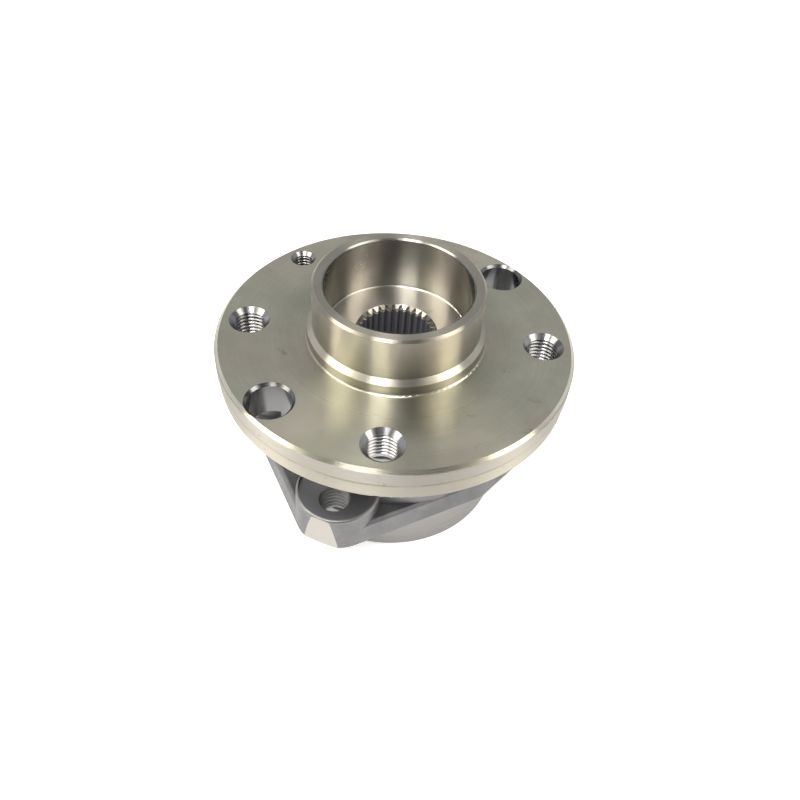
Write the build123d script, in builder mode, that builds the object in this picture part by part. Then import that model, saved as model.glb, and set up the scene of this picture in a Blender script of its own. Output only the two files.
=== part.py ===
from build123d import *
import math
import os

os.makedirs("parts", exist_ok=True)

# ---------------------------------------------------------------------------
# Driven-wheel hub bearing unit, sizes in millimetres.
# Z is the bearing axis, +Z points outboard, towards the wheel.
# Z = 0 is the inboard end of the outer ring, on which the unit stands.
# ---------------------------------------------------------------------------

# --- hub flange and wheel side --------------------------------------------
Z_FACE = 65.0            # outboard face of the hub flange (disc and wheel seat)
FLANGE_R = 60.5
FLANGE_T = 12.7
FLANGE_EDGE = 1.2        # chamfer on the outboard edge
RIM_STEP_Z = 58.7        # witness line round the rim, turned in two settings
Z_TOP = 86.0             # lip of the wheel spigot
SPIGOT_R = 28.25         # wheel centring spigot, diameter 56.5
SPIGOT_BASE_Z = 70.6
PILOT_R = 29.95          # brake disc pilot, diameter 59.9
PILOT_TOP_Z = 68.9
PILOT_FILLET = 0.8
CUP_R = 24.33            # bore inside the spigot
CUP_FLOOR_Z = 66.1       # seat of the axle nut washer
LIP_OUT = 0.8
LIP_IN = 0.5

# --- wheel bolt holes, access holes, disc screw ----------------------------
WHEEL_PCD = 100.0
M12_MAJOR_R = 6.0
WHEEL_PITCH = 1.5
WHEEL_MINOR_R = M12_MAJOR_R - 0.54127 * WHEEL_PITCH      # 5.188
WHEEL_CSK_R = 6.85
ACCESS_R = 7.0
ACCESS_POS_R = 51.5
ACCESS_CSK = 0.9
ACCESS_ANGLES = (45.5, 225.5)
SCREW_MAJOR_R = 4.0      # M8 x 1.25 disc locating screw
SCREW_PITCH = 1.25
SCREW_MINOR_R = SCREW_MAJOR_R - 0.54127 * SCREW_PITCH    # 3.323
SCREW_CSK_R = 4.5
SCREW_POS_R = 53.0
SCREW_ANGLE = 135.3

# --- axle spline ------------------------------------------------------------
SPLINE_TEETH = 33
SPLINE_MAJOR_R = 13.85
SPLINE_MINOR_R = 12.70
SPLINE_MOUTH_R = 13.95
SPLINE_RELIEF_R = 14.15
SPLINE_RELIEF_Z = 8.5

# --- rolling elements -------------------------------------------------------
PITCH_R = 30.0
BALL_R = 5.95
BALLS = 14
RACE_R = 6.2
Z_OUT_ROW = 35.0
Z_IN_ROW = 15.5

# --- hub barrel and inner ring ---------------------------------------------
LOW_LAND_R = 24.3
HIGH_LAND_R = 28.8
SEAL_LAND_R = 31.0
SHAFT_R = 20.0
RING_BORE_Z0 = 1.0
RING_BORE_Z1 = 24.0
SHAFT_END_Z = 3.5

# --- outer ring -------------------------------------------------------------
KNUCKLE_R = 41.4         # knuckle pilot, diameter 82.8
EAR_Z = 15.0             # face that bolts against the knuckle
PLATE_TOP_Z = 23.2
BOSS_TOP_Z = 28.7
BODY_TOP_Z = 47.5
BODY_R0 = 40.9
BODY_R1 = 40.0
CORE_R = 41.8
EAR_ANGLES = (-109.4, 170.4, 6.8)
BOSS_POS_R = 42.3
BOSS_R = 15.1
BOSS_SHIFT = -0.7        # the boss and its spot face sit a little round from
SPOT_SHIFT = -1.6        # the hole, in degrees
CORNER_POS = (33.2, -33.5)  # rounded corner of the plate between two ears
CORNER_R = 12.0
PLATE_DRAFT = 5.0
PLATE_EDGE = 1.6
BOSS_DRAFT = 3.4
BOSS_EDGE = 1.0          # rounded rim of a boss
EAR_END_R = 56.4         # ends of the ears, cleared by a large circle that
EAR_END_TURN = 2.3       # leans a little round each boss, in degrees
EAR_HOLE_R = 46.1
EAR_HOLE_BREAK = 0.25    # broken edges of the tapped hole
KNUCKLE_PITCH = 1.75
KNUCKLE_MINOR_R = M12_MAJOR_R - 0.54127 * KNUCKLE_PITCH  # 5.053
SPOT_R = 13.0
SPOT_POS_R = 42.1
SPOT_Z = 27.3
RIB_R = 33.2
COUNTERBORE_R = 36.4
SEAL_BORE_R = 37.2


def groove_rings(minor_r, major_r, pitch, z_top, z_end):
    """Closed outline of an internal thread's grooves, on the right of the axis.

    The flanks lean 30 degrees and the crest flat is a quarter of the pitch.
    """
    depth = major_r - minor_r
    crest = pitch / 4
    root = pitch - crest - 2 * depth * math.tan(math.radians(30))
    pts = []
    z = z_top
    while z - pitch >= z_end - 1e-6:
        z0 = z - crest
        pts.append(
            [
                (minor_r - 0.4, z0),
                (minor_r, z0),
                (major_r, z0 - depth * math.tan(math.radians(30))),
                (major_r, z0 - depth * math.tan(math.radians(30)) - root),
                (minor_r, z - pitch),
                (minor_r - 0.4, z - pitch),
            ]
        )
        z -= pitch
    return pts


def race_z(land_r, race_z0, side):
    """Height at which a raceway groove meets a cylindrical land."""
    return race_z0 + side * math.sqrt(RACE_R**2 - (PITCH_R - land_r) ** 2)


# ============================================================================
# hub: flange, spigot, barrel and splined bore in one forging
# ============================================================================
zu = Z_FACE - FLANGE_T
z_hi = race_z(HIGH_LAND_R, Z_OUT_ROW, +1)
z_lo = race_z(LOW_LAND_R, Z_OUT_ROW, -1)

with BuildPart() as hub:
    with BuildSketch(Plane.XZ) as hub_profile:
        with BuildLine():
            Polyline(
                (11.0, CUP_FLOOR_Z),
                (CUP_R - 0.6, CUP_FLOOR_Z),
            )
            RadiusArc((CUP_R - 0.6, CUP_FLOOR_Z), (CUP_R, CUP_FLOOR_Z + 0.6), -0.6)
            Polyline(
                (CUP_R, CUP_FLOOR_Z + 0.6),
                (CUP_R, Z_TOP - LIP_IN),
                (CUP_R + LIP_IN, Z_TOP),
                (SPIGOT_R - LIP_OUT, Z_TOP),
                (SPIGOT_R, Z_TOP - LIP_OUT),
                (SPIGOT_R, SPIGOT_BASE_Z),
                (PILOT_R, PILOT_TOP_Z),
                (PILOT_R, Z_FACE + PILOT_FILLET),
            )
            RadiusArc(
                (PILOT_R, Z_FACE + PILOT_FILLET),
                (PILOT_R + PILOT_FILLET, Z_FACE),
                -PILOT_FILLET,
            )
            Polyline(
                (PILOT_R + PILOT_FILLET, Z_FACE),
                (FLANGE_R - FLANGE_EDGE, Z_FACE),
                (FLANGE_R, Z_FACE - FLANGE_EDGE),
                (FLANGE_R, RIM_STEP_Z),
                (FLANGE_R - 0.18, RIM_STEP_Z - 0.18),
                (FLANGE_R - 0.45, zu + 0.9),
            )
            RadiusArc((FLANGE_R - 0.45, zu + 0.9), (FLANGE_R - 1.35, zu), 0.9)
            Polyline(
                (FLANGE_R - 1.35, zu),
                (45.4, zu),
                (42.4, zu - 3.0),
                (SEAL_LAND_R + 3.0, zu - 3.5),
            )
            RadiusArc(
                (SEAL_LAND_R + 3.0, zu - 3.5), (SEAL_LAND_R, zu - 6.5), -3.0
            )
            Polyline(
                (SEAL_LAND_R, zu - 6.5),
                (SEAL_LAND_R, 43.6),
                (HIGH_LAND_R, 43.0),
                (HIGH_LAND_R, z_hi),
            )
            ThreePointArc(
                (HIGH_LAND_R, z_hi),
                (PITCH_R - RACE_R, Z_OUT_ROW),
                (LOW_LAND_R, z_lo),
            )
            Polyline(
                (LOW_LAND_R, z_lo),
                (LOW_LAND_R, RING_BORE_Z1 + 0.4),
                (LOW_LAND_R - 0.4, RING_BORE_Z1),
                (SHAFT_R, RING_BORE_Z1),
                (SHAFT_R, SHAFT_END_Z + 1.2),
                (SHAFT_R - 1.2, SHAFT_END_Z),
                (11.0, SHAFT_END_Z),
                (11.0, CUP_FLOOR_Z),
            )
        make_face()
    revolve(axis=Axis.Z)

    # splined bore: a round core with one tapering space for each tooth gap
    with BuildSketch(Plane.XY.offset(SHAFT_END_Z - 1)) as spline_profile:
        Circle(SPLINE_MINOR_R)
        with PolarLocations(0, SPLINE_TEETH):
            Polygon(
                (SPLINE_MINOR_R - 0.6, -0.99),
                (SPLINE_MINOR_R, -0.86),
                (SPLINE_MAJOR_R, -0.33),
                (SPLINE_MAJOR_R, 0.33),
                (SPLINE_MINOR_R, 0.86),
                (SPLINE_MINOR_R - 0.6, 0.99),
                align=None,
            )
    extrude(amount=CUP_FLOOR_Z - SHAFT_END_Z + 2, mode=Mode.SUBTRACT)

    # 45 degree mouth on the seat, and the plain relief at the shaft end
    with BuildSketch(Plane.XZ) as mouth_profile:
        with BuildLine():
            Polyline(
                (0, CUP_FLOOR_Z + 1),
                (SPLINE_MOUTH_R + 1, CUP_FLOOR_Z + 1),
                (SPLINE_MINOR_R - 1, CUP_FLOOR_Z - SPLINE_MOUTH_R + SPLINE_MINOR_R - 1),
                (0, CUP_FLOOR_Z - SPLINE_MOUTH_R + SPLINE_MINOR_R - 1),
                close=True,
            )
        make_face()
        with BuildLine():
            Polyline(
                (0, SHAFT_END_Z - 1),
                (SPLINE_RELIEF_R + 2.2, SHAFT_END_Z - 1),
                (SPLINE_RELIEF_R, SHAFT_END_Z + 1.2),
                (SPLINE_RELIEF_R, SPLINE_RELIEF_Z),
                (SPLINE_MINOR_R - 0.5, SPLINE_RELIEF_Z + 1.65),
                (0, SPLINE_RELIEF_Z + 1.65),
                close=True,
            )
        make_face()
    revolve(axis=Axis.Z, mode=Mode.SUBTRACT)

    # access holes through the flange
    with BuildSketch(Plane.XY.offset(zu - 1)) as access_profile:
        for a in ACCESS_ANGLES:
            with Locations(
                (
                    ACCESS_POS_R * math.cos(math.radians(a)),
                    ACCESS_POS_R * math.sin(math.radians(a)),
                )
            ):
                Circle(ACCESS_R)
    extrude(amount=FLANGE_T + 2, mode=Mode.SUBTRACT)

# edge breaks of the access holes
with BuildPart() as access_csk:
    with BuildSketch(Plane.XZ) as access_csk_profile:
        with BuildLine():
            Polyline(
                (0, Z_FACE + 1),
                (ACCESS_R + ACCESS_CSK + 1, Z_FACE + 1),
                (ACCESS_R - 1, Z_FACE - ACCESS_CSK - 1),
                (0, Z_FACE - ACCESS_CSK - 1),
                close=True,
            )
        make_face()
        with BuildLine():
            Polyline(
                (0, zu - 1),
                (ACCESS_R + 0.6 + 1, zu - 1),
                (ACCESS_R - 1, zu + 0.6 + 1),
                (0, zu + 0.6 + 1),
                close=True,
            )
        make_face()
    revolve(axis=Axis.Z)

# cutter for one M12 x 1.5 wheel bolt hole, along Z at the origin
with BuildPart() as wheel_cutter:
    with BuildSketch(Plane.XZ) as wheel_cutter_profile:
        with BuildLine():
            Polyline(
                (0, Z_FACE + 1),
                (WHEEL_CSK_R + 1, Z_FACE + 1),
                (WHEEL_MINOR_R, Z_FACE - WHEEL_CSK_R + WHEEL_MINOR_R),
                (WHEEL_MINOR_R, zu + 1.0),
                (WHEEL_MINOR_R + 2.0, zu - 1.0),
                (0, zu - 1.0),
                close=True,
            )
        make_face()
        for ring in groove_rings(
            WHEEL_MINOR_R,
            M12_MAJOR_R,
            WHEEL_PITCH,
            Z_FACE - WHEEL_CSK_R + WHEEL_MINOR_R + 0.3,
            zu + 1.0,
        ):
            with BuildLine():
                Polyline(*ring, close=True)
            make_face()
    revolve(axis=Axis.Z)

# cutter for the M8 x 1.25 disc locating screw hole
with BuildPart() as screw_cutter:
    with BuildSketch(Plane.XZ) as screw_cutter_profile:
        with BuildLine():
            Polyline(
                (0, Z_FACE + 1),
                (SCREW_CSK_R + 1, Z_FACE + 1),
                (SCREW_MINOR_R, Z_FACE - SCREW_CSK_R + SCREW_MINOR_R),
                (SCREW_MINOR_R, zu + 0.7),
                (SCREW_MINOR_R + 1.7, zu - 1.0),
                (0, zu - 1.0),
                close=True,
            )
        make_face()
        for ring in groove_rings(
            SCREW_MINOR_R,
            SCREW_MAJOR_R,
            SCREW_PITCH,
            Z_FACE - SCREW_CSK_R + SCREW_MINOR_R + 0.25,
            zu + 0.7,
        ):
            with BuildLine():
                Polyline(*ring, close=True)
            make_face()
    revolve(axis=Axis.Z)

with hub:
    with PolarLocations(WHEEL_PCD / 2, 4):
        add(wheel_cutter.part, mode=Mode.SUBTRACT)
    with PolarLocations(ACCESS_POS_R, 2, start_angle=ACCESS_ANGLES[0]):
        add(access_csk.part, mode=Mode.SUBTRACT)
    with PolarLocations(SCREW_POS_R, 1, start_angle=SCREW_ANGLE):
        add(screw_cutter.part, mode=Mode.SUBTRACT)

hub.part.label = "hub"
export_step(hub.part, "parts/hub.step")

# ============================================================================
# inner ring: separate ring pressed on the shaft, carries the inboard row
# ============================================================================
zi_hi = race_z(HIGH_LAND_R, Z_IN_ROW, -1)
zi_lo = race_z(LOW_LAND_R, Z_IN_ROW, +1)
with BuildPart() as inner_ring:
    with BuildSketch(Plane.XZ):
        with BuildLine():
            Polyline(
                (SHAFT_R + 1.0, RING_BORE_Z0),
                (HIGH_LAND_R - 0.5, RING_BORE_Z0),
                (HIGH_LAND_R, RING_BORE_Z0 + 0.5),
                (HIGH_LAND_R, zi_hi),
            )
            ThreePointArc(
                (HIGH_LAND_R, zi_hi),
                (PITCH_R - RACE_R, Z_IN_ROW),
                (LOW_LAND_R, zi_lo),
            )
            Polyline(
                (LOW_LAND_R, zi_lo),
                (LOW_LAND_R, RING_BORE_Z1 - 0.4),
                (LOW_LAND_R - 0.4, RING_BORE_Z1),
                (SHAFT_R, RING_BORE_Z1),
                (SHAFT_R, RING_BORE_Z0 + 1.0),
                (SHAFT_R + 1.0, RING_BORE_Z0),
            )
        make_face()
    revolve(axis=Axis.Z)
inner_ring.part.label = "inner_ring"
export_step(inner_ring.part, "parts/inner_ring.step")

# ============================================================================
# outer ring: knuckle pilot, three-eared flange, body with both outer raceways
# ============================================================================
def polar(r, a):
    return (r * math.cos(math.radians(a)), r * math.sin(math.radians(a)))


with BuildPart() as outer_ring:
    # flange plate: the taut outline round the core and the three ears
    with BuildSketch(Plane.XY.offset(EAR_Z)) as plate_outline:
        with BuildSketch(mode=Mode.PRIVATE) as circles:
            Circle(CORE_R)
            for a in EAR_ANGLES:
                with Locations(polar(BOSS_POS_R, a + BOSS_SHIFT)):
                    Circle(BOSS_R)
            with Locations(polar(*CORNER_POS)):
                Circle(CORNER_R)
        make_hull(circles.sketch.edges())
    extrude(amount=PLATE_TOP_Z - EAR_Z)
    plate_sides = outer_ring.faces().filter_by(
        lambda f: abs(f.center().Z - (PLATE_TOP_Z + EAR_Z) / 2) < 0.5
    )
    draft(plate_sides, Plane.XY.offset(EAR_Z), PLATE_DRAFT)
    fillet(outer_ring.faces().sort_by(Axis.Z)[-1].edges(), PLATE_EDGE)
    # bosses of the ears
    for a in EAR_ANGLES:
        with BuildSketch(Plane.XY.offset(EAR_Z)):
            with Locations(polar(BOSS_POS_R, a + BOSS_SHIFT)):
                Circle(BOSS_R - 0.02)
        extrude(amount=BOSS_TOP_Z - EAR_Z, taper=BOSS_DRAFT)
    boss_rims = outer_ring.edges().filter_by(
        lambda e: abs(e.center().Z - BOSS_TOP_Z) < 0.01
    )
    fillet(boss_rims, BOSS_EDGE)
    # cleared ends of the ears
    for a in EAR_ANGLES:
        boss = polar(BOSS_POS_R, a + BOSS_SHIFT)
        lean = polar(BOSS_POS_R, a + BOSS_SHIFT + EAR_END_TURN)
        with BuildSketch(Plane.XY.offset(EAR_Z - 1)):
            with Locations(boss):
                Circle(BOSS_R + 3)
            with Locations((boss[0] - lean[0], boss[1] - lean[1])):
                Circle(EAR_END_R, mode=Mode.SUBTRACT)
        extrude(amount=BOSS_TOP_Z - EAR_Z + 3, mode=Mode.SUBTRACT)
    # spot faces
    with BuildSketch(Plane.XY.offset(SPOT_Z)):
        for a in EAR_ANGLES:
            with Locations(polar(SPOT_POS_R, a + SPOT_SHIFT)):
                Circle(SPOT_R)
    extrude(amount=6, mode=Mode.SUBTRACT)
    # body above the flange and pilot below it
    with BuildSketch(Plane.XZ):
        with BuildLine():
            Polyline(
                (30, 0.8),
                (30, BODY_TOP_Z),
                (BODY_R1 - 0.8, BODY_TOP_Z),
                (BODY_R1, BODY_TOP_Z - 0.8),
                (BODY_R0, PLATE_TOP_Z),
                (BODY_R0, EAR_Z),
                (KNUCKLE_R, EAR_Z),
                (KNUCKLE_R, 0.6),
                (KNUCKLE_R - 0.6, 0),
                (38, 0),
                (30, 0.8),
            )
        make_face()
    revolve(axis=Axis.Z)
    # bore: seal seats, counterbores, raceways and the central rib
    with BuildSketch(Plane.XZ):
        with BuildLine():
            Polyline(
                (0, -1),
                (SEAL_BORE_R + 1.5, -1),
                (SEAL_BORE_R, 0.5),
                (SEAL_BORE_R, 6.5),
                (COUNTERBORE_R, 6.9),
                (COUNTERBORE_R, Z_IN_ROW - 1.1),
                (PITCH_R + RACE_R, Z_IN_ROW - 0.3),
                (PITCH_R + RACE_R, Z_IN_ROW),
            )
            z1 = race_z(RIB_R, Z_IN_ROW, +1)
            z2 = race_z(RIB_R, Z_OUT_ROW, -1)
            ThreePointArc(
                (PITCH_R + RACE_R, Z_IN_ROW),
                (
                    PITCH_R + RACE_R * math.cos(math.radians(28)),
                    Z_IN_ROW + RACE_R * math.sin(math.radians(28)),
                ),
                (RIB_R, z1),
            )
            Polyline((RIB_R, z1), (RIB_R, z2))
            ThreePointArc(
                (RIB_R, z2),
                (
                    PITCH_R + RACE_R * math.cos(math.radians(28)),
                    Z_OUT_ROW - RACE_R * math.sin(math.radians(28)),
                ),
                (PITCH_R + RACE_R, Z_OUT_ROW),
            )
            Polyline(
                (PITCH_R + RACE_R, Z_OUT_ROW),
                (PITCH_R + RACE_R, Z_OUT_ROW + 0.3),
                (COUNTERBORE_R, Z_OUT_ROW + 1.1),
                (COUNTERBORE_R, 42.1),
                (SEAL_BORE_R, 42.5),
                (SEAL_BORE_R, BODY_TOP_Z - 0.5),
                (SEAL_BORE_R + 1.5, BODY_TOP_Z + 1),
                (0, BODY_TOP_Z + 1),
                (0, -1),
            )
        make_face()
    revolve(axis=Axis.Z, mode=Mode.SUBTRACT)

# cutter for one M12 x 1.75 knuckle bolt hole
with BuildPart() as knuckle_cutter:
    with BuildSketch(Plane.XZ):
        with BuildLine():
            Polyline(
                (0, SPOT_Z + 1),
                (KNUCKLE_MINOR_R + EAR_HOLE_BREAK + 1, SPOT_Z + 1),
                (KNUCKLE_MINOR_R, SPOT_Z - EAR_HOLE_BREAK),
                (KNUCKLE_MINOR_R, EAR_Z + 2 * EAR_HOLE_BREAK),
                (KNUCKLE_MINOR_R + 2 * EAR_HOLE_BREAK + 1, EAR_Z - 1.0),
                (0, EAR_Z - 1.0),
                close=True,
            )
        make_face()
        for ring in groove_rings(
            KNUCKLE_MINOR_R,
            M12_MAJOR_R,
            KNUCKLE_PITCH,
            SPOT_Z - EAR_HOLE_BREAK - 0.1,
            EAR_Z + 2 * EAR_HOLE_BREAK,
        ):
            with BuildLine():
                Polyline(*ring, close=True)
            make_face()
    revolve(axis=Axis.Z)

with outer_ring:
    for a in EAR_ANGLES:
        with Locations(Location((*polar(EAR_HOLE_R, a), 0))):
            add(knuckle_cutter.part, mode=Mode.SUBTRACT)

outer_ring.part.label = "outer_ring"
export_step(outer_ring.part, "parts/outer_ring.step")

# ============================================================================
# balls, one row of fourteen at each raceway pair
# ============================================================================
IN_PHASE = 180.0 / BALLS
for i in range(BALLS):
    a = 360.0 / BALLS * i
    with BuildPart() as ball_out:
        with Locations((*polar(PITCH_R, a), Z_OUT_ROW)):
            Sphere(BALL_R)
    name = f"outboard_ball_{i + 1:02d}"
    ball_out.part.label = name
    export_step(ball_out.part, f"parts/{name}.step")
    with BuildPart() as ball_in:
        with Locations((*polar(PITCH_R, a + IN_PHASE), Z_IN_ROW)):
            Sphere(BALL_R)
    name = f"inboard_ball_{i + 1:02d}"
    ball_in.part.label = name
    export_step(ball_in.part, f"parts/{name}.step")

# ============================================================================
# cages: a snap ring behind the balls with prongs between them
# ============================================================================
CAGE_R0 = 29.2
CAGE_R1 = 32.7
POCKET_R = 6.15
RING_BACK = 7.6          # back face of the cage ring, from the ball centres
PRONG_FRONT = 3.6        # tips of the prongs, on the other side


def cage(z_row, side, phase):
    """Crown cage. side is the direction of its closed ring from the balls."""
    lo, hi = sorted((z_row + side * RING_BACK, z_row - side * PRONG_FRONT))
    with BuildPart() as c:
        with BuildSketch(Plane.XY.offset(lo)):
            Circle(CAGE_R1)
            Circle(CAGE_R0, mode=Mode.SUBTRACT)
        extrude(amount=hi - lo)
        with Locations(
            *[
                Location((*polar(PITCH_R, 360.0 / BALLS * i + phase), z_row))
                for i in range(BALLS)
            ]
        ):
            Sphere(POCKET_R, mode=Mode.SUBTRACT)
    return c


outboard_cage = cage(Z_OUT_ROW, +1, 0.0)
outboard_cage.part.label = "outboard_cage"
export_step(outboard_cage.part, "parts/outboard_cage.step")
inboard_cage = cage(Z_IN_ROW, -1, IN_PHASE)
inboard_cage.part.label = "inboard_cage"
export_step(inboard_cage.part, "parts/inboard_cage.step")

# ============================================================================
# seals: a pressed steel case in the outer ring with a moulded rubber lip,
# and on the inboard side a slinger ring pressed on the inner ring
# ============================================================================
CASE_T = 0.8
with BuildPart() as outboard_seal_case:
    with BuildSketch(Plane.XZ):
        with BuildLine():
            Polyline(
                (SEAL_BORE_R, 43.0),
                (SEAL_BORE_R, 47.0),
                (SEAL_BORE_R - CASE_T, 47.0),
                (SEAL_BORE_R - CASE_T, 44.3 + CASE_T),
                (33.6, 44.3 + CASE_T),
                (33.6, 44.3),
                (SEAL_BORE_R - CASE_T, 44.3),
                (SEAL_BORE_R - CASE_T, 43.0),
                close=True,
            )
        make_face()
    revolve(axis=Axis.Z)
outboard_seal_case.part.label = "outboard_seal_case"
export_step(outboard_seal_case.part, "parts/outboard_seal_case.step")

with BuildPart() as outboard_seal_lip:
    with BuildSketch(Plane.XZ):
        with BuildLine():
            Polyline(
                (35.6, 44.3 + CASE_T),
                (36.1, 48.6),
                (35.6, 48.6),
                (34.3, 46.2),
                (33.0, 46.2),
                (31.45, 46.8),
                (31.3, 46.4),
                (32.2, 45.5),
                (32.2, 44.4),
                (31.2, 43.6),
                (31.35, 43.2),
                (33.6, 43.7),
                (34.6, 44.3),
                (33.6, 44.3),
                (33.6, 44.3 + CASE_T),
                close=True,
            )
        make_face()
    revolve(axis=Axis.Z)
outboard_seal_lip.part.label = "outboard_seal_lip"
export_step(outboard_seal_lip.part, "parts/outboard_seal_lip.step")

with BuildPart() as inboard_seal_case:
    with BuildSketch(Plane.XZ):
        with BuildLine():
            Polyline(
                (SEAL_BORE_R, 1.2),
                (SEAL_BORE_R, 6.3),
                (32.4, 6.3),
                (32.4, 6.3 - CASE_T),
                (SEAL_BORE_R - CASE_T, 6.3 - CASE_T),
                (SEAL_BORE_R - CASE_T, 1.2),
                close=True,
            )
        make_face()
    revolve(axis=Axis.Z)
inboard_seal_case.part.label = "inboard_seal_case"
export_step(inboard_seal_case.part, "parts/inboard_seal_case.step")

with BuildPart() as inboard_seal_lip:
    with BuildSketch(Plane.XZ):
        with BuildLine():
            Polyline(
                (35.4, 5.5),
                (36.0, 2.3),
                (35.5, 2.3),
                (34.2, 4.5),
                (33.0, 4.5),
                (30.2, 3.2),
                (30.0, 3.6),
                (31.6, 4.9),
                (31.6, 6.0),
                (29.95, 6.7),
                (30.1, 7.1),
                (32.4, 6.9),
                (33.4, 6.3),
                (32.4, 6.3),
                (32.4, 5.5),
                close=True,
            )
        make_face()
    revolve(axis=Axis.Z)
inboard_seal_lip.part.label = "inboard_seal_lip"
export_step(inboard_seal_lip.part, "parts/inboard_seal_lip.step")

with BuildPart() as inboard_slinger:
    with BuildSketch(Plane.XZ):
        with BuildLine():
            Polyline(
                (HIGH_LAND_R, 6.6),
                (HIGH_LAND_R + CASE_T, 6.6),
                (HIGH_LAND_R + CASE_T, 1.2 + CASE_T),
                (36.1, 1.2 + CASE_T),
                (36.1, 1.2),
                (HIGH_LAND_R + 0.4, 1.2),
                (HIGH_LAND_R, 1.6),
                close=True,
            )
        make_face()
    revolve(axis=Axis.Z)
inboard_slinger.part.label = "inboard_slinger"
export_step(inboard_slinger.part, "parts/inboard_slinger.step")
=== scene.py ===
"""Wheel hub bearing: materials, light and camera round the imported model."""
import math

import bpy
from mathutils import Matrix, Vector

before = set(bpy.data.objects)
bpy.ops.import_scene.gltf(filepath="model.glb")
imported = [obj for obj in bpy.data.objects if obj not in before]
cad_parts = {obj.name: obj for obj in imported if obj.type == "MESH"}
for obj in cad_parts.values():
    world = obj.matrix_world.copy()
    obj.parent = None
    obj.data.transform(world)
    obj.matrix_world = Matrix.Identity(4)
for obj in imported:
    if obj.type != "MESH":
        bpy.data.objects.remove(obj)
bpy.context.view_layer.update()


# ---------------------------------------------------------------------------
# small node-building helper
# ---------------------------------------------------------------------------
class Graph:
    def __init__(self, name):
        self.mat = bpy.data.materials.new(name)
        self.mat.use_nodes = True
        self.nt = self.mat.node_tree
        self.nt.nodes.clear()
        self.out = self.nt.nodes.new("ShaderNodeOutputMaterial")

    def put(self, socket, value):
        if isinstance(value, bpy.types.NodeSocket):
            self.nt.links.new(value, socket)
        elif value is not None:
            socket.default_value = value

    def node(self, kind, **inputs):
        n = self.nt.nodes.new(kind)
        for k, v in inputs.items():
            self.put(n.inputs[k], v)
        return n

    def math(self, op, a, b=None, c=None, clamp=False):
        n = self.nt.nodes.new("ShaderNodeMath")
        n.operation = op
        n.use_clamp = clamp
        for i, v in enumerate((a, b, c)):
            if v is not None:
                self.put(n.inputs[i], v)
        return n.outputs[0]

    def vec(self, op, a, b=None, scale=None):
        n = self.nt.nodes.new("ShaderNodeVectorMath")
        n.operation = op
        self.put(n.inputs[0], a)
        if b is not None:
            self.put(n.inputs[1], b)
        if scale is not None:
            self.put(n.inputs["Scale"], scale)
        return n.outputs["Value"] if op in ("LENGTH", "DOT_PRODUCT", "DISTANCE") else n.outputs[0]

    def split(self, v):
        n = self.nt.nodes.new("ShaderNodeSeparateXYZ")
        self.put(n.inputs[0], v)
        return n.outputs[0], n.outputs[1], n.outputs[2]

    def join(self, x, y, z):
        n = self.nt.nodes.new("ShaderNodeCombineXYZ")
        for i, v in enumerate((x, y, z)):
            self.put(n.inputs[i], v)
        return n.outputs[0]

    def noise(self, vector, scale, detail=3.0, rough=0.5, dist=0.0, dims="3D"):
        n = self.nt.nodes.new("ShaderNodeTexNoise")
        n.noise_dimensions = dims
        self.put(n.inputs["Vector"], vector)
        n.inputs["Scale"].default_value = scale
        n.inputs["Detail"].default_value = detail
        n.inputs["Roughness"].default_value = rough
        n.inputs["Distortion"].default_value = dist
        return n.outputs["Fac"]

    def ramp(self, fac, a, b, lo=0.0, hi=1.0, smooth=True):
        """fac from a..b mapped to lo..hi, clamped."""
        n = self.nt.nodes.new("ShaderNodeMapRange")
        n.interpolation_type = "SMOOTHSTEP" if smooth else "LINEAR"
        n.clamp = True
        self.put(n.inputs["Value"], fac)
        for k, v in (("From Min", a), ("From Max", b), ("To Min", lo), ("To Max", hi)):
            self.put(n.inputs[k], v)
        return n.outputs["Result"]

    def mix(self, fac, a, b, mode="MIX"):
        n = self.nt.nodes.new("ShaderNodeMix")
        n.data_type = "RGBA"
        n.blend_type = mode
        self.put(n.inputs[0], fac)
        self.put(n.inputs[6], (*a, 1.0) if isinstance(a, tuple) else a)
        self.put(n.inputs[7], (*b, 1.0) if isinstance(b, tuple) else b)
        return n.outputs[2]

    def mixf(self, fac, a, b):
        n = self.nt.nodes.new("ShaderNodeMix")
        n.data_type = "FLOAT"
        self.put(n.inputs[0], fac)
        self.put(n.inputs[2], a)
        self.put(n.inputs[3], b)
        return n.outputs[0]

    def bump(self, height, strength, distance, normal=None):
        n = self.nt.nodes.new("ShaderNodeBump")
        n.inputs["Strength"].default_value = strength
        n.inputs["Distance"].default_value = distance
        self.put(n.inputs["Height"], height)
        if normal is not None:
            self.put(n.inputs["Normal"], normal)
        return n.outputs[0]

    def finish(self, shader):
        self.nt.links.new(shader, self.out.inputs["Surface"])
        return self.mat


def dress(node, mat):
    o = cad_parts[node]
    if not o.material_slots:
        raise SystemExit(f"{node} has no material slot")
    for s in o.material_slots:
        s.material = mat


def position(g):
    tc = g.nt.nodes.new("ShaderNodeTexCoord")
    return tc.outputs["Object"]


def normal_z(g):
    """How far the flat shading normal leans up or down, from 0 to 1."""
    geo = g.nt.nodes.new("ShaderNodeNewGeometry")
    tr = g.nt.nodes.new("ShaderNodeVectorTransform")
    tr.vector_type = "NORMAL"
    tr.convert_from = "WORLD"
    tr.convert_to = "OBJECT"
    g.nt.links.new(geo.outputs["Normal"], tr.inputs[0])
    return g.split(tr.outputs[0])[2]


def lathe_tangent(g, qx, qy):
    """Direction of the turning marks round an axis along Z."""
    t = g.join(g.math("MULTIPLY", qy, -1.0), qx, 0.0)
    tr = g.nt.nodes.new("ShaderNodeVectorTransform")
    tr.vector_type = "VECTOR"
    tr.convert_from = "OBJECT"
    tr.convert_to = "WORLD"
    g.nt.links.new(g.vec("NORMALIZE", t), tr.inputs[0])
    return tr.outputs[0]


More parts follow.
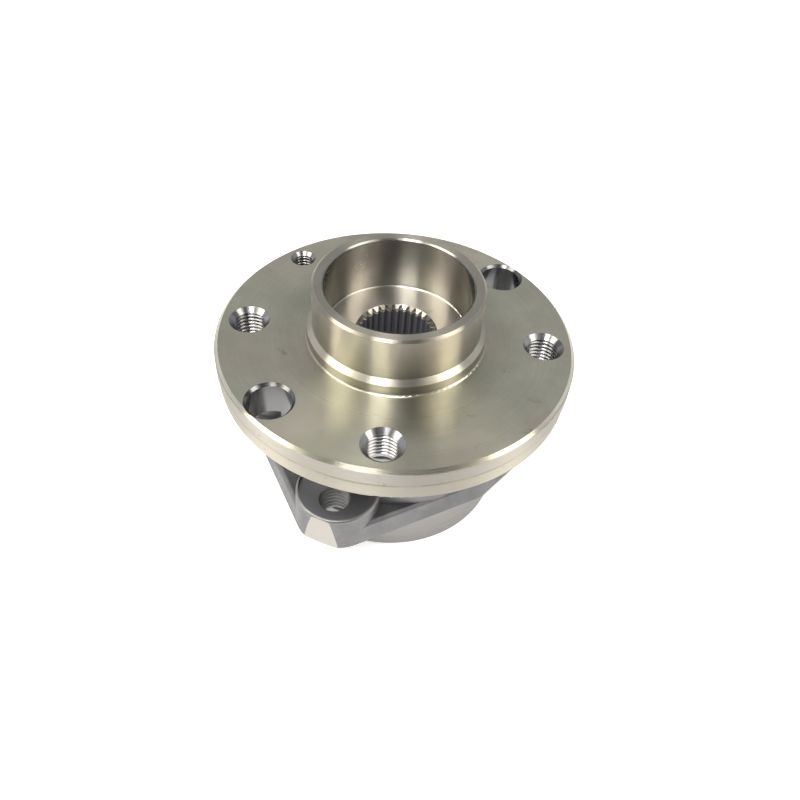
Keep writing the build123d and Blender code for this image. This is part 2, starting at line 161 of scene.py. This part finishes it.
# ---------------------------------------------------------------------------
# hub: fine turned steel
# ---------------------------------------------------------------------------
def hub_material():
    g = Graph("turned_steel")
    P = position(g)
    x, y, z = g.split(P)
    ax, ay = g.math("ABSOLUTE", x), g.math("ABSOLUTE", y)
    # nearest wheel bolt hole
    alongx = g.math("GREATER_THAN", ax, ay)
    cx = g.math("MULTIPLY", g.math("MULTIPLY", alongx, g.math("SIGN", x)), 0.050)
    cy = g.math(
        "MULTIPLY",
        g.math("MULTIPLY", g.math("SUBTRACT", 1.0, alongx), g.math("SIGN", y)),
        0.050,
    )

    def in_hole(px, py, radius):
        dx, dy = g.math("SUBTRACT", x, px), g.math("SUBTRACT", y, py)
        d = g.math(
            "SQRT", g.math("ADD", g.math("MULTIPLY", dx, dx), g.math("MULTIPLY", dy, dy))
        )
        return g.math("LESS_THAN", d, radius)

    in_wheel = in_hole(cx, cy, 0.00695)
    # nearest access hole
    ca, sa = math.cos(math.radians(45.5)), math.sin(math.radians(45.5))
    side = g.math("SIGN", g.math("ADD", g.math("MULTIPLY", x, ca), g.math("MULTIPLY", y, sa)))
    acx, acy = g.math("MULTIPLY", side, 0.0515 * ca), g.math("MULTIPLY", side, 0.0515 * sa)
    in_access = in_hole(acx, acy, 0.0080)
    scx = 0.053 * math.cos(math.radians(135.3))
    scy = 0.053 * math.sin(math.radians(135.3))
    in_screw = in_hole(scx, scy, 0.0046)
    hx = g.math(
        "ADD",
        g.math("MULTIPLY", in_wheel, cx),
        g.math("ADD", g.math("MULTIPLY", in_access, acx), g.math("MULTIPLY", in_screw, scx)),
    )
    hy = g.math(
        "ADD",
        g.math("MULTIPLY", in_wheel, cy),
        g.math("ADD", g.math("MULTIPLY", in_access, acy), g.math("MULTIPLY", in_screw, scy)),
    )
    in_any = g.math("MAXIMUM", g.math("MAXIMUM", in_wheel, in_access), in_screw)
    qx, qy = g.math("SUBTRACT", x, hx), g.math("SUBTRACT", y, hy)
    r = g.math(
        "SQRT", g.math("ADD", g.math("MULTIPLY", qx, qx), g.math("MULTIPLY", qy, qy))
    )
    theta = g.math("ARCTAN2", qy, qx)
    tangent = lathe_tangent(g, qx, qy)

    # turning marks: rings in r and z, broken up slowly round the axis
    ring = g.join(
        g.math("MULTIPLY", r, 1000.0),
        g.math("MULTIPLY", z, 1000.0),
        g.math("MULTIPLY", theta, 0.35),
    )
    fine = g.noise(ring, 5.5, 2.0, 0.6)
    coarse = g.noise(ring, 0.9, 2.0, 0.5)
    cloud = g.noise(P, 55.0, 4.0, 0.55)
    blot = g.noise(P, 160.0, 5.0, 0.6, 0.4)

    base = g.mix(g.ramp(cloud, 0.35, 0.7), (0.447, 0.444, 0.352), (0.523, 0.516, 0.415))
    base = g.mix(g.math("MULTIPLY", g.ramp(fine, 0.3, 0.7), 0.25), base, (0.34, 0.334, 0.27))
    # faint patches of another tint left by drying coolant
    tint = g.ramp(g.noise(P, 42.0, 3.0, 0.5, 0.3), 0.48, 0.66)
    base = g.mix(g.math("MULTIPLY", tint, 0.7), base, g.vec("MULTIPLY", base, (1.05, 0.985, 1.03)))
    # the face is burnished brighter away from the pilot
    face = g.math("LESS_THAN", z, 0.0655)
    outer = g.math("MULTIPLY", face, g.ramp(r, 0.035, 0.045))
    base = g.vec("SCALE", base, scale=g.math("ADD", g.math("MULTIPLY", outer, 0.10), 0.97))
    # the nut seat at the bottom of the bore is freshly faced
    cup = g.math("MULTIPLY", g.math("GREATER_THAN", z, 0.0655), g.math("LESS_THAN", r, 0.0250))
    seat = g.math("MULTIPLY", cup, g.math("LESS_THAN", z, 0.0665))
    wall = g.math("SUBTRACT", cup, seat)
    base = g.mix(g.math("MULTIPLY", seat, 0.6), base, (0.68, 0.67, 0.60))
    base = g.mix(wall, base, g.vec("MULTIPLY", base, (1.00, 1.03, 1.10)))
    # the spigot and its bore are painted darker than the face, painted shade, with a slight tint
    base = g.mix(face, g.vec("MULTIPLY", base, (0.82, 0.80, 0.835)), base)
    # the pilot's chamfer is painted brighter, a painted highlight; the lip is duller
    chamfer = g.math("MULTIPLY", g.math("GREATER_THAN", z, 0.0687), g.math("LESS_THAN", z, 0.0708))
    chamfer = g.math("MULTIPLY", chamfer, g.math("GREATER_THAN", r, 0.02830))
    base = g.vec("SCALE", base, scale=g.math("ADD", g.math("MULTIPLY", chamfer, 0.22), 1.0))
    lip = g.math("GREATER_THAN", z, 0.0851)
    base = g.vec("SCALE", base, scale=g.math("SUBTRACT", 1.0, g.math("MULTIPLY", lip, 0.22)))
    top = g.math("GREATER_THAN", z, 0.08595)
    base = g.vec("SCALE", base, scale=g.math("ADD", 1.0, g.math("MULTIPLY", top, 0.42)))
    stain = g.math("MULTIPLY", g.ramp(blot, 0.66, 0.74), 0.35)
    base = g.mix(stain, base, (0.24, 0.20, 0.13))

    # smudges of old oil on the front right of the face
    front = g.math("MULTIPLY", g.ramp(x, 0.010, 0.030), g.ramp(y, -0.018, -0.034))
    smudge = g.math(
        "MULTIPLY", g.math("MULTIPLY", front, g.ramp(g.noise(P, 95.0, 5.0, 0.6, 0.6), 0.56, 0.66)), 0.45
    )
    base = g.mix(smudge, base, (0.26, 0.21, 0.13))

    # bolt, access and screw holes are painted darker inside, painted shade in the holes; the spline is
    # painted dark, painted shade, with bright tips
    base = g.mix(in_wheel, base, (0.30, 0.303, 0.303))
    base = g.mix(in_access, base, (0.170, 0.173, 0.176))
    base = g.mix(in_screw, base, (0.28, 0.28, 0.275))
    bore = g.math("MULTIPLY", g.math("LESS_THAN", r, 0.0142), g.math("LESS_THAN", z, 0.0655))
    bore = g.math("MULTIPLY", bore, g.math("SUBTRACT", 1.0, in_any))
    # deep in the spline: painted shade, a dark colour without metallic sheen
    deep_painted_shade = g.math("MULTIPLY", bore, g.ramp(z, 0.0648, 0.0636))
    base = g.mix(g.math("MULTIPLY", deep_painted_shade, 0.95), base, (0.092, 0.093, 0.112))

    # the rim was turned in another setting and is paler
    rim = g.math("MULTIPLY", g.ramp(r, 0.0592, 0.0596), g.math("LESS_THAN", z, 0.0640))
    base = g.mix(g.math("MULTIPLY", rim, 0.85), base, (0.372, 0.364, 0.337))
    # thin brownish witness line round the rim and some specks of rust by it
    belt = g.join(g.math("MULTIPLY", theta, 9.0), g.math("MULTIPLY", z, 700.0), 0.0)
    patchy = g.ramp(g.noise(belt, 1.0, 4.0, 0.6), 0.35, 0.65)
    base = g.mix(g.math("MULTIPLY", rim, g.math("MULTIPLY", patchy, 0.30)), base, (0.38, 0.36, 0.31))
    gap = g.math("ABSOLUTE", g.math("SUBTRACT", z, 0.05865))
    line = g.math("MULTIPLY", rim, g.ramp(gap, 0.00022, 0.00080, 1.0, 0.0))
    broken = g.ramp(g.noise(P, 130.0, 3.0, 0.6), 0.40, 0.55, 0.35, 0.85)
    base = g.mix(g.math("MULTIPLY", line, broken), base, (0.29, 0.265, 0.215))
    below = g.math("MULTIPLY", rim, g.math("LESS_THAN", z, 0.05865))
    base = g.mix(below, base, g.vec("MULTIPLY", base, (1.06, 1.05, 1.01)))
    rust = g.math("MULTIPLY", rim, g.ramp(g.noise(P, 340.0, 4.0, 0.6, 0.5), 0.64, 0.70))
    base = g.mix(g.math("MULTIPLY", rust, 0.5), base, (0.24, 0.21, 0.16))

    # the inboard side of the flange is plain grey steel
    back = g.math("LESS_THAN", z, 0.05245)
    base = g.mix(g.math("MULTIPLY", back, g.math("SUBTRACT", 1.0, in_any)), base, (0.57, 0.573, 0.582))

    rough = g.math("ADD", g.math("MULTIPLY", coarse, 0.03), 0.285)
    rough = g.math("ADD", rough, g.math("MULTIPLY", back, 0.12))
    rough = g.math("ADD", rough, g.math("MULTIPLY", outer, -0.070))
    rough = g.math("ADD", rough, g.math("MULTIPLY", wall, -0.045))
    spigot = g.math("MULTIPLY", g.math("GREATER_THAN", z, 0.0708), g.math("GREATER_THAN", r, 0.0270))
    rough = g.math("SUBTRACT", rough, g.math("MULTIPLY", spigot, 0.012))
    rough = g.math("ADD", rough, g.math("MULTIPLY", stain, 0.4))
    rough = g.mixf(rim, rough, 0.46)
    rough = g.mixf(in_any, rough, 0.25)
    nrm = g.bump(fine, 0.02, 0.00004)
    # the spline's teeth get a painted flat shade: the normal is bent up to hide their own light and shade
    nrm = g.vec("NORMALIZE", g.mix(g.math("MULTIPLY", deep_painted_shade, 0.85), nrm, (0.0, 0.0, 1.0)))

    p = g.node("ShaderNodeBsdfPrincipled")
    g.put(p.inputs["Base Color"], base)
    # no metallic sheen deep in the spline, part of its painted shade
    g.put(p.inputs["Metallic"], g.math("SUBTRACT", 1.0, deep_painted_shade))
    g.put(p.inputs["Specular IOR Level"], g.mixf(deep_painted_shade, 0.5, 0.0))
    g.put(p.inputs["Roughness"], rough)
    g.put(p.inputs["Anisotropic"], g.mixf(in_any, 0.97, 0.90))
    p.inputs["Anisotropic Rotation"].default_value = 0.25
    g.put(p.inputs["Tangent"], tangent)
    g.put(p.inputs["Normal"], nrm)
    return g.finish(p.outputs[0])


# ---------------------------------------------------------------------------
# outer ring: forged steel with machined faces
# ---------------------------------------------------------------------------
def forging_material():
    g = Graph("forged_steel")
    P = position(g)
    x, y, z = g.split(P)
    r = g.math("SQRT", g.math("ADD", g.math("MULTIPLY", x, x), g.math("MULTIPLY", y, y)))
    nz = normal_z(g)
    tangent = lathe_tangent(g, x, y)

    low = g.math("LESS_THAN", z, 0.0149)
    # cleared ends of the three ears
    ends = 0.0
    for ear in (-109.4, 170.4, 6.8):
        a0, a1 = math.radians(ear - 0.7), math.radians(ear + 1.6)
        bx, by = 0.0423 * math.cos(a0), 0.0423 * math.sin(a0)
        lx, ly = bx - 0.0423 * math.cos(a1), by - 0.0423 * math.sin(a1)

        def apart(px, py):
            dx, dy = g.math("SUBTRACT", x, px), g.math("SUBTRACT", y, py)
            return g.math(
                "SQRT", g.math("ADD", g.math("MULTIPLY", dx, dx), g.math("MULTIPLY", dy, dy))
            )

        here = g.math(
            "MULTIPLY",
            g.math("GREATER_THAN", apart(lx, ly), 0.05634),
            g.math("LESS_THAN", apart(bx, by), 0.0175),
        )
        ends = g.math("MAXIMUM", ends, here)
    bottom = g.math("LESS_THAN", nz, -0.7)
    upper = g.math("GREATER_THAN", z, 0.0290)
    inside = g.math("LESS_THAN", r, 0.0375)
    turned = g.math("MAXIMUM", g.math("MAXIMUM", low, ends), g.math("MAXIMUM", bottom, inside))
    turned = g.math("MAXIMUM", turned, g.math("MULTIPLY", upper, g.math("LESS_THAN", r, 0.042)))
    spot = g.math(
        "MULTIPLY",
        g.math("COMPARE", z, 0.0273, 0.00003),
        g.math("GREATER_THAN", nz, 0.9),
    )

    ring = g.join(
        g.math("MULTIPLY", r, 1000.0),
        g.math("MULTIPLY", z, 1000.0),
        g.math("MULTIPLY", g.math("ARCTAN2", y, x), 0.35),
    )
    fine = g.noise(ring, 5.0, 2.0, 0.6)
    scale = g.noise(P, 420.0, 5.0, 0.62)
    cloud = g.noise(P, 70.0, 4.0, 0.55)

    forged = g.mix(g.ramp(cloud, 0.3, 0.7), (0.146, 0.150, 0.154), (0.196, 0.199, 0.204))
    forged = g.mix(g.math("MULTIPLY", g.ramp(scale, 0.45, 0.75), 0.35), forged, (0.15, 0.152, 0.156))
    steel = g.mix(g.ramp(fine, 0.3, 0.7), (0.262, 0.258, 0.250), (0.312, 0.307, 0.297))
    steel = g.mix(ends, steel, (0.40, 0.388, 0.365))
    milled = (0.240, 0.245, 0.262)
    # a paler ring round the boss tops: a painted highlight standing in for their bevel's light
    rim = g.math("MULTIPLY", g.math("GREATER_THAN", z, 0.0277), g.math("LESS_THAN", z, 0.0289))
    rim = g.math("MULTIPLY", rim, g.math("GREATER_THAN", r, 0.0412))
    base = g.mix(g.math("MULTIPLY", rim, 0.4), forged, (0.30, 0.30, 0.295))
    base = g.mix(turned, base, steel)
    base = g.mix(spot, base, milled)

    rough = g.mixf(turned, g.math("ADD", g.math("MULTIPLY", scale, 0.2), 0.36), 0.40)
    rough = g.mixf(spot, rough, 0.34)
    nrm = g.bump(scale, 0.25, 0.00012)
    p = g.node("ShaderNodeBsdfPrincipled")
    g.put(p.inputs["Base Color"], base)
    p.inputs["Metallic"].default_value = 1.0
    g.put(p.inputs["Roughness"], rough)
    p.inputs["Anisotropic"].default_value = 0.0
    g.put(p.inputs["Normal"], nrm)

    q = g.node("ShaderNodeBsdfPrincipled")
    g.put(q.inputs["Base Color"], base)
    q.inputs["Metallic"].default_value = 1.0
    g.put(q.inputs["Roughness"], rough)
    q.inputs["Anisotropic"].default_value = 0.6
    q.inputs["Anisotropic Rotation"].default_value = 0.25
    g.put(q.inputs["Tangent"], tangent)
    g.put(q.inputs["Normal"], g.bump(fine, 0.10, 0.00004))
    m = g.node("ShaderNodeMixShader")
    g.put(m.inputs[0], turned)
    g.put(m.inputs[1], p.outputs[0])
    g.put(m.inputs[2], q.outputs[0])
    return g.finish(m.outputs[0])


def ground_material(name, low, high, roughness):
    """Ground or pressed steel with marks round the axis."""
    g = Graph(name)
    P = position(g)
    x, y, z = g.split(P)
    r = g.math("SQRT", g.math("ADD", g.math("MULTIPLY", x, x), g.math("MULTIPLY", y, y)))
    ring = g.join(
        g.math("MULTIPLY", r, 1000.0),
        g.math("MULTIPLY", z, 1000.0),
        g.math("MULTIPLY", g.math("ARCTAN2", y, x), 0.3),
    )
    fine = g.noise(ring, 6.0, 2.0, 0.6)
    cloud = g.noise(P, 90.0, 3.0, 0.5)
    base = g.mix(g.ramp(cloud, 0.3, 0.7), low, high)
    rough = g.math("ADD", g.math("MULTIPLY", fine, 0.08), roughness)
    p = g.node("ShaderNodeBsdfPrincipled")
    g.put(p.inputs["Base Color"], base)
    p.inputs["Metallic"].default_value = 1.0
    g.put(p.inputs["Roughness"], rough)
    p.inputs["Anisotropic"].default_value = 0.5
    p.inputs["Anisotropic Rotation"].default_value = 0.25
    g.put(p.inputs["Tangent"], lathe_tangent(g, x, y))
    g.put(p.inputs["Normal"], g.bump(fine, 0.08, 0.00003))
    return g.finish(p.outputs[0])


def ball_material():
    g = Graph("polished_steel")
    P = position(g)
    haze = g.noise(P, 300.0, 3.0, 0.5)
    p = g.node("ShaderNodeBsdfPrincipled")
    g.put(p.inputs["Base Color"], g.mix(haze, (0.74, 0.74, 0.73), (0.82, 0.82, 0.81)))
    p.inputs["Metallic"].default_value = 1.0
    g.put(p.inputs["Roughness"], g.math("ADD", g.math("MULTIPLY", haze, 0.06), 0.07))
    return g.finish(p.outputs[0])


def nylon_material():
    g = Graph("glass_filled_nylon")
    P = position(g)
    fibre = g.noise(P, 900.0, 4.0, 0.6)
    cloud = g.noise(P, 120.0, 3.0, 0.5)
    base = g.mix(g.ramp(cloud, 0.3, 0.7), (0.60, 0.53, 0.36), (0.70, 0.63, 0.45))
    base = g.mix(g.math("MULTIPLY", g.ramp(fibre, 0.55, 0.8), 0.3), base, (0.82, 0.78, 0.66))
    p = g.node("ShaderNodeBsdfPrincipled")
    g.put(p.inputs["Base Color"], base)
    g.put(p.inputs["Roughness"], g.math("ADD", g.math("MULTIPLY", fibre, 0.2), 0.45))
    g.put(p.inputs["Normal"], g.bump(fibre, 0.15, 0.00005))
    return g.finish(p.outputs[0])


def rubber_material():
    g = Graph("nitrile_rubber")
    P = position(g)
    grain = g.noise(P, 1100.0, 4.0, 0.6)
    dust = g.noise(P, 140.0, 4.0, 0.6)
    base = g.mix(g.math("MULTIPLY", g.ramp(dust, 0.5, 0.8), 0.4), (0.018, 0.018, 0.018), (0.07, 0.067, 0.06))
    p = g.node("ShaderNodeBsdfPrincipled")
    g.put(p.inputs["Base Color"], base)
    g.put(p.inputs["Roughness"], g.math("ADD", g.math("MULTIPLY", dust, 0.25), 0.5))
    g.put(p.inputs["Normal"], g.bump(grain, 0.2, 0.00005))
    return g.finish(p.outputs[0])


HUB = hub_material()
FORGING = forging_material()
RING = ground_material("ground_steel", (0.60, 0.60, 0.585), (0.69, 0.69, 0.675), 0.22)
SHEET = ground_material("pressed_sheet_steel", (0.48, 0.48, 0.475), (0.58, 0.58, 0.57), 0.34)
BALL = ball_material()
NYLON = nylon_material()
RUBBER = rubber_material()

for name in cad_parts:
    if "_ball_" in name:
        dress(name, BALL)
    elif name.endswith("_cage"):
        dress(name, NYLON)
    elif name.endswith("_lip"):
        dress(name, RUBBER)
    elif name.endswith("_case") or name.endswith("_slinger"):
        dress(name, SHEET)
dress("hub", HUB)
dress("inner_ring", RING)
dress("outer_ring", FORGING)


# ---------------------------------------------------------------------------
# floor
# ---------------------------------------------------------------------------
def floor_material():
    g = Graph("pale_floor")
    P = position(g)
    soft = g.noise(P, 6.0, 2.0, 0.5)
    d = g.node("ShaderNodeBsdfDiffuse")
    g.put(d.inputs["Color"], g.mix(soft, (0.80, 0.80, 0.80), (0.82, 0.82, 0.82)))
    e = g.node("ShaderNodeEmission")
    e.inputs["Color"].default_value = (1.0, 1.0, 1.0, 1.0)
    g.put(e.inputs["Strength"], g.ramp(g.split(P)[1], 0.0, 0.40, 0.48, 0.54))
    a = g.node("ShaderNodeAddShader")
    g.put(a.inputs[0], d.outputs[0])
    g.put(a.inputs[1], e.outputs[0])
    return g.finish(a.outputs[0])


FLOOR_Z = -0.00005
me = bpy.data.meshes.new("floor")
S = 3.0
me.from_pydata(
    [(-S, -S, FLOOR_Z), (S, -S, FLOOR_Z), (S, S, FLOOR_Z), (-S, S, FLOOR_Z)], [], [(0, 1, 2, 3)]
)
floor = bpy.data.objects.new("floor", me)
bpy.context.scene.collection.objects.link(floor)
me.materials.append(floor_material())


# ---------------------------------------------------------------------------
# light: pale surroundings, two large soft boxes to the sides, one narrow one
# ---------------------------------------------------------------------------
scene = bpy.context.scene
world = bpy.data.worlds.new("studio")
scene.world = world
world.use_nodes = True
wt = world.node_tree
bg = wt.nodes["Background"]
bg.inputs[0].default_value = (0.97, 0.97, 1.0, 1.0)
wtc = wt.nodes.new("ShaderNodeTexCoord")
wsep = wt.nodes.new("ShaderNodeSeparateXYZ")
wt.links.new(wtc.outputs["Generated"], wsep.inputs[0])
wmap = wt.nodes.new("ShaderNodeMapRange")
wmap.interpolation_type = "SMOOTHSTEP"
wt.links.new(wsep.outputs[1], wmap.inputs["Value"])
wmap.inputs["From Min"].default_value = -0.7
wmap.inputs["From Max"].default_value = 0.7
wmap.inputs["To Min"].default_value = 0.16
wmap.inputs["To Max"].default_value = 0.56


def sky_math(op, a, b=None):
    n = wt.nodes.new("ShaderNodeMath")
    n.operation = op
    for i, v in enumerate((a, b)):
        if isinstance(v, bpy.types.NodeSocket):
            wt.links.new(v, n.inputs[i])
        elif v is not None:
            n.inputs[i].default_value = v
    return n.outputs[0]


def sky_step(value, lo, hi, gain):
    n = wt.nodes.new("ShaderNodeMapRange")
    n.interpolation_type = "SMOOTHSTEP"
    wt.links.new(value, n.inputs["Value"])
    n.inputs["From Min"].default_value = lo
    n.inputs["From Max"].default_value = hi
    n.inputs["To Min"].default_value = 0.0
    n.inputs["To Max"].default_value = gain
    return n.outputs["Result"]


# paler walls low at both sides, and a paler patch high in front
side_wall = sky_step(sky_math("ABSOLUTE", wsep.outputs[0]), 0.70, 0.93, 0.55)
high_front = sky_math(
    "ADD",
    sky_math("MULTIPLY", wsep.outputs[1], -0.695),
    sky_math("MULTIPLY", wsep.outputs[2], 0.719),
)
patch = sky_step(high_front, 0.86, 0.97, 0.24)
total = sky_math("ADD", wmap.outputs["Result"], sky_math("ADD", side_wall, patch))
wt.links.new(total, bg.inputs[1])

AIM = Vector((0.0, 0.0, 0.055))
CAMERA_AZ = -88.16


def soft_box(name, az, el, dist, width, height, power, color=(1.0, 1.0, 1.0)):
    """A rectangular lamp, az counted from the camera's side."""
    a, e = math.radians(CAMERA_AZ + az), math.radians(el)
    d = Vector((math.cos(e) * math.cos(a), math.cos(e) * math.sin(a), math.sin(e)))
    light = bpy.data.lights.new(name, "AREA")
    light.shape = "RECTANGLE"
    light.size = width
    light.size_y = height
    light.energy = power
    light.color = color
    o = bpy.data.objects.new(name, light)
    o.location = AIM + d * dist
    o.rotation_euler = d.to_track_quat("Z", "Y").to_euler()
    scene.collection.objects.link(o)
    return o


soft_box("left_box", -72.0, 46.0, 0.8, 0.38, 0.75, 5.6, (1.0, 0.93, 0.84))
soft_box("right_box", 74.0, 44.0, 0.8, 0.34, 0.75, 4.2, (1.0, 0.93, 0.84))
soft_box("front_strip", -20.0, 66.0, 0.9, 0.25, 0.5, 5.6, (1.0, 0.955, 0.94))

# ---------------------------------------------------------------------------
# camera, at the photograph's viewing angle
# ---------------------------------------------------------------------------
EL, ROLL, TURN = math.radians(45.975), math.radians(4.654), math.radians(0.917)
turn = Matrix.Rotation(TURN, 3, "Z")
forward = turn @ Vector((0.0, math.cos(EL), -math.sin(EL)))
right = turn @ Vector((1.0, 0.0, 0.0))
up = turn @ Vector((0.0, math.sin(EL), math.cos(EL)))
r2 = math.cos(ROLL) * right + math.sin(ROLL) * up
u2 = -math.sin(ROLL) * right + math.cos(ROLL) * up
where = turn @ Vector((0.003163, -0.195374, 0.169603)) + Vector((0.0, 0.0, 0.065))
cam = bpy.data.cameras.new("camera")
cam.sensor_width = 36.0
cam.lens = 761.01 / 800.0 * 36.0
cam.clip_start = 0.005
cam.clip_end = 20.0
cam_obj = bpy.data.objects.new("camera", cam)
m = Matrix((r2, u2, -forward)).transposed().to_4x4()
m.translation = where
cam_obj.matrix_world = m
scene.collection.objects.link(cam_obj)
scene.camera = cam_obj

scene.view_settings.view_transform = "Standard"
scene.view_settings.look = "None"
scene.view_settings.exposure = 0.0
scene.view_settings.gamma = 1.0
